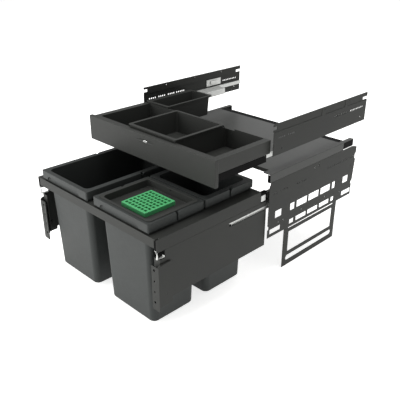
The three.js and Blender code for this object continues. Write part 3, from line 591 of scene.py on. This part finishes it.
def lift_out_box(node, body_inset, taper=4, wall=2):
    """A tapered box that hangs by its flat rim, with rounded corners all over."""
    xs, ys, (bottom, top) = span(node)
    rim_depth = body_inset["rim"]
    body_xs = (xs[0] + body_inset["x"][0], xs[1] - body_inset["x"][1])
    body_ys = (ys[0] + body_inset["y"][0], ys[1] - body_inset["y"][1])
    rim = block(f"{node}_moulding", xs, ys, (top - 3, top))
    round_edges(rim, 6, 6, lambda middle, way: runs(way, UP))
    seat = block("seat", inset(xs, 3), inset(ys, 3), (top - rim_depth, top - 2))
    join_on(rim, round_edges(seat, 4, 5, lambda middle, way: runs(way, UP)))
    body = tapered("body", body_xs, body_ys, inset(body_xs, taper), inset(body_ys, taper),
                   (bottom, top - 0.5), 8, 4)
    opening = tapered("opening", inset(body_xs, wall), inset(body_ys, wall), inset(body_xs, taper + wall),
                      inset(body_ys, taper + wall), (bottom + wall, top + 1), 6, 3)
    join_on(rim, body)
    cut_away(rim, opening)
    soften(rim, 1.0, 3)
    put(rim, node)


# ---------------------------------------------------------------- folded sheets

def punched(side_x, places, width, height):
    """Cutting tools for a row of punched slots through an upright sheet at side_x."""
    tools = []
    for y, z in places:
        slot = block("slot", (side_x - 8, side_x + 8), (y - width / 2, y + width / 2),
                     (z - height / 2, z + height / 2))
        tools.append(round_edges(slot, min(width, height) * 0.35, 3, lambda middle, way: runs(way, ACROSS)))
    return tools


def row_of(start, end, pitch, z, skip=()):
    count = int((end - start) / pitch + 0.5) + 1
    return [(start + i * pitch, z) for i in range(count) if i not in skip]


def lower_wall_plate(side):
    node = f"lower_wall_plate_{side}"
    xs, ys, zs = span(node)
    front = ys[0] - 4
    piece = taken_from(node, f"{node}_sheet")
    places = row_of(25, 87, 12.5, 283, (2,)) + row_of(139, 181, 8.5, 281, (2,))
    places += row_of(303, 374, 12, 284) + row_of(391, 457, 11, 284.5, (3,))
    places += [(56, 179), (78, 179.3), (173, 182), (300.5, 183), (393, 169.5), (418, 167), (444.6, 252.2)]
    tools = punched(sum(xs) / 2, [(front + y, z) for y, z in places], 3.6, 3.6)
    tools += punched(sum(xs) / 2, [(front + 227, 308), (front + 250, 310)], 2.4, 11)
    cut_away(piece, gathered(tools))
    soften(piece, 0.3, 1)
    put(piece, node)


def upper_wall_plate(side):
    """A plate with a folded band along its top and four groups of screw holes in a row."""
    node = f"upper_wall_plate_{side}"
    xs, ys, zs = span(node)
    front = ys[0] - 8
    piece = taken_from(node, f"{node}_sheet")
    places = []
    middle_rows = ((120, 146), (160, 192)) if side == "left" else ()
    rear_rows = ((315, 338), (352, 382), (403, 426), (438, 474))
    for start, end in ((33, 60), (76, 104), *middle_rows, *rear_rows):
        places += row_of(start, end, 8.6, 454.5)
    tools = punched(sum(xs) / 2, [(front + y, z) for y, z in places], 5.2, 5)
    outer = xs[1] if side == "right" else xs[0]
    inner = outer + (-0.9 if side == "right" else 0.9)
    folds = [block("fold", sorted((inner, 1.01 * outer)), (front + start, front + end), (474.3, zs[1] + 1))
             for start, end in ((7, 238), (259, 365), (382, 491))]
    cut_away(piece, gathered(tools), gathered(folds))
    soften(piece, 0.3, 2)
    put(piece, node)


def cover_shelf():
    """The shelf's sheet with its bent-down edges, all softly rounded."""
    put(soften(taken_from("cover_shelf", "cover_shelf_sheet"), 0.8, 3), "cover_shelf")


def mirrored(piece, name):
    """The left-hand copy of a right-hand piece, with its faces turned outwards again."""
    only(piece)
    bpy.ops.object.duplicate()
    twin = bpy.context.object
    twin.name = name
    twin.data.transform(Matrix.Scale(-1, 4, (1, 0, 0)))
    choose(twin, "FACE", lambda middle, normal: True)
    bpy.ops.mesh.flip_normals()
    bpy.ops.object.mode_set(mode="OBJECT")
    return twin


def pair(piece, stem):
    """Puts a right-hand piece and its mirrored copy in their places."""
    twin = mirrored(piece, f"{stem}_left_finished")
    put(piece, f"{stem}_right")
    put(twin, f"{stem}_left")


BRACKET_COLLARS = ((213, 3.6), (180, 2.6), (148, 2.6), (116, 3.6))      # height and bore radius
BRACKET_COLLAR_WALL = 1.4
BRACKET_SCREW = (24.5, 141)     # back from the bracket's face, and up


def front_brackets():
    """The door's angle: a front flange with four extruded collars, and a side flange cut back at its foot."""
    xs, ys, (bottom, top) = span("front_bracket_right")
    angle = block("front_bracket_right_finished", xs, (ys[0], ys[0] + 2), (bottom, top - 7))
    flange = block("flange", (xs[1] - 4.9, xs[1]), (ys[0] + 0.5, ys[1]), (bottom + 15, top))
    round_edges(flange, 5.5, 1, lambda middle, way: runs(way, ACROSS) and middle.y < ys[0] + 1
                and middle.z > top - 1)
    round_edges(flange, 4, 4, lambda middle, way: runs(way, ACROSS) and middle.y > ys[1] - 1)
    round_edges(flange, 3, 4, lambda middle, way: middle.z > top - 0.1 and middle.x > xs[1] - 0.1)
    join_on(angle, flange)
    collar_x = xs[1] - 18
    collars = [pin("collar", "Y", (collar_x, ys[0] + 4.5, z), bore + BRACKET_COLLAR_WALL, 7, 20)
               for z, bore in BRACKET_COLLARS]
    join_on(angle, gathered(collars))
    holes = [pin("hole", "Y", (collar_x, ys[0] + 3, z), bore, 8.4, 20) for z, bore in BRACKET_COLLARS]
    screw_y, screw_z = ys[0] + BRACKET_SCREW[0], BRACKET_SCREW[1]
    cut_away(angle, gathered(holes), pin("screw_hole", "X", (xs[1], screw_y, screw_z), 3, 14, 20))
    pair(soften(angle, 0.6, 3), "front_bracket")


def middle_runners():
    """The middle member of the pull-out's slide, with a rolled double edge along its outer lip."""
    xs, ys, (bottom, top) = span("pullout_runner_middle_right")
    lip = bottom + 4.2
    outer = (xs[1] - 2, xs[1])
    rail = block("pullout_runner_middle_right_finished", (xs[0], xs[0] + 2), ys, (lip, top))
    roof = block("roof", (xs[0], xs[0] + 9.5), ys, (top - 2, top))
    shelf = block("shelf", (xs[0], xs[1] - 0.5), ys, (lip, lip + 1.8))
    edge = block("edge", outer, ys, (bottom, lip + 1.8))
    lower_lip = block("lower_lip", outer, (ys[0] + 11, ys[1] - 29), (bottom - 6.6, bottom + 1))
    join_on(rail, roof, shelf, edge, lower_lip)
    groove = block("groove", (xs[1] - 1.4, xs[1] + 1), inset(ys, -1), (bottom - 3.2, bottom + 3.2))
    cut_away(rail, groove)
    pair(soften(rail, 0.25, 2), "pullout_runner_middle")


def runner_hooks():
    """The hooked end of the slide's inner member: a narrow strip bent forward, down, back and up."""
    xs, ys, (bottom, top) = span("pullout_runner_hook_right")
    strip = 1.8
    front, low = (ys[0], ys[0] + strip), (xs[1] - 6, xs[1])
    hook = block("pullout_runner_hook_right_finished", (xs[1] - 4.9, xs[1] - 1.5), front, (bottom, top))
    face = block("face", (xs[1] - 4.9, xs[1]), front, (bottom, bottom + 15))
    under = block("under", low, ys, (bottom, bottom + strip))
    upturn = block("upturn", low, (ys[1] - strip, ys[1]), (bottom, bottom + 5))
    tongue = block("tongue", (xs[0], xs[1] - 1.5), (ys[0], ys[0] + 11.4), (top - strip, top))
    join_on(hook, face, under, upturn, tongue)
    pair(soften(hook, 0.25, 2), "pullout_runner_hook")


def rear_housings():
    """The runner's rear housing: a black moulding with a plated catch plate on its outer side."""
    xs, ys, zs = span("runner_rear_housing_right")
    housing = block("runner_rear_housing_right_finished", xs, ys, zs)
    round_edges(housing, 2, 3, lambda middle, way: not runs(way, ACROSS))
    recess = block("recess", (xs[1] - 1.4, xs[1] + 1), (ys[0] + 1.5, ys[1] - 5), (zs[0] + 3, zs[1] - 9))
    pair(soften(cut_away(housing, recess), 0.4, 2), "runner_rear_housing")
    for side, sign in (("left", -1), ("right", 1)):
        across = sorted((sign * (xs[1] - 1.3), sign * (xs[1] - 0.2)))
        along, upright = (ys[0] + 2, ys[1] - 5.5), (zs[0] + 3.5, zs[1] - 9.5)
        plate = block(f"runner_catch_plate_{side}", across, along, upright)
        round_edges(plate, 1.5, 3, lambda middle, way: runs(way, ACROSS))
        add_to_body(soften(plate, 0.25, 2), BODY_OF[f"runner_rear_housing_{side}"], "runner_steel")


CORNER_GAP = 4.5                # the front rail ends this far from the side rail's inner face


def painted_corner_shades():
    """A narrow near-black block sits in the gap between the front rail and each side rail: painted shade, so
    that the gap reads dark.
    """
    xs, ys, zs = span("frame_front_rail")
    for side, sign in (("left", -1), ("right", 1)):
        across = sorted((sign * (xs[1] - CORNER_GAP + 0.3), sign * (xs[1] + 0.9)))
        # near-black block just behind the rail's front face: painted shade for the corner gap
        shade_block = block(f"corner_painted_shade_{side}", across, (ys[0] + 0.7, ys[0] + 8), (271.2, zs[1] - 2.2))
        add_to_body(soften(shade_block, 0.4, 2), BODY_OF["frame_front_rail"], "black_plastic")


def trim_for_slide(piece, node):
    """Cuts back what the neighbours of a sheet need: the rail's open corner, the slide's open ends."""
    xs, ys, zs = span(node)
    if node == "frame_front_rail":
        for ends in ((xs[0] - 1, xs[0] + CORNER_GAP), (xs[1] - CORNER_GAP, xs[1] + 1)):
            cut_away(piece, block("corner", ends, (ys[0] - 1, ys[0] + 9), (zs[0] - 1, zs[1] - 2)))
    elif node.startswith("drawer_runner_fixed"):
        arm_out, arm_top = 276, 410
        front_end = (-arm_out, arm_out), (ys[0] - 1, ys[0] + 28), (zs[0] - 1, arm_top)
        cut_away(piece, block("front_end", *front_end))
    elif node.startswith("drawer_runner_middle"):
        back = span("drawer_tray")[1][1] - 12
        cut_away(piece, block("foot_end", inset(xs, -1), (back, ys[1] + 1), (zs[0] - 1, zs[0] + 4.2)))


def softened_sheets():
    """The remaining frame nodes keep their shape; their edges are rounded as their making leaves them."""
    widths = {"steel_anthracite": 0.4, "runner_steel": 0.25, "black_plastic": 0.6, "screw_steel": 0.4}
    made = ("lower_wall_plate", "upper_wall_plate", "front_bracket",
            "pullout_runner_middle", "pullout_runner_hook", "runner_rear_housing")
    for node, slot in SLOT_OF.items():
        if slot in widths and not node.startswith(made):
            piece = taken_from(node, f"{node}_finished")
            trim_for_slide(piece, node)
            soften(piece, widths[slot], 2)
            put(piece, node)


for bin_node in ("bin_left", "bin_right_front", "bin_right_rear"):
    waste_bin(bin_node)
filter_lid()
filter_grid()
filter_pad()
drawer_front()
drawer_badge()
drawer_tray()
lift_out_box("insert_box", {"x": (8, 8), "y": (8, 6), "rim": 9.2})
lift_out_box("rear_box", {"x": (19, 5), "y": (5, 6), "rim": 6.2})
for side in ("left", "right"):
    lower_wall_plate(side)
    upper_wall_plate(side)
cover_shelf()
front_brackets()
middle_runners()
runner_hooks()
rear_housings()
painted_corner_shades()
softened_sheets()

# ---------------------------------------------------------------- finish

for node, part in frame["nodes"].items():
    part.data.materials.clear()
    part.data.materials.append(FINISHES[SLOT_OF[node]])

make_camera()
make_studio()
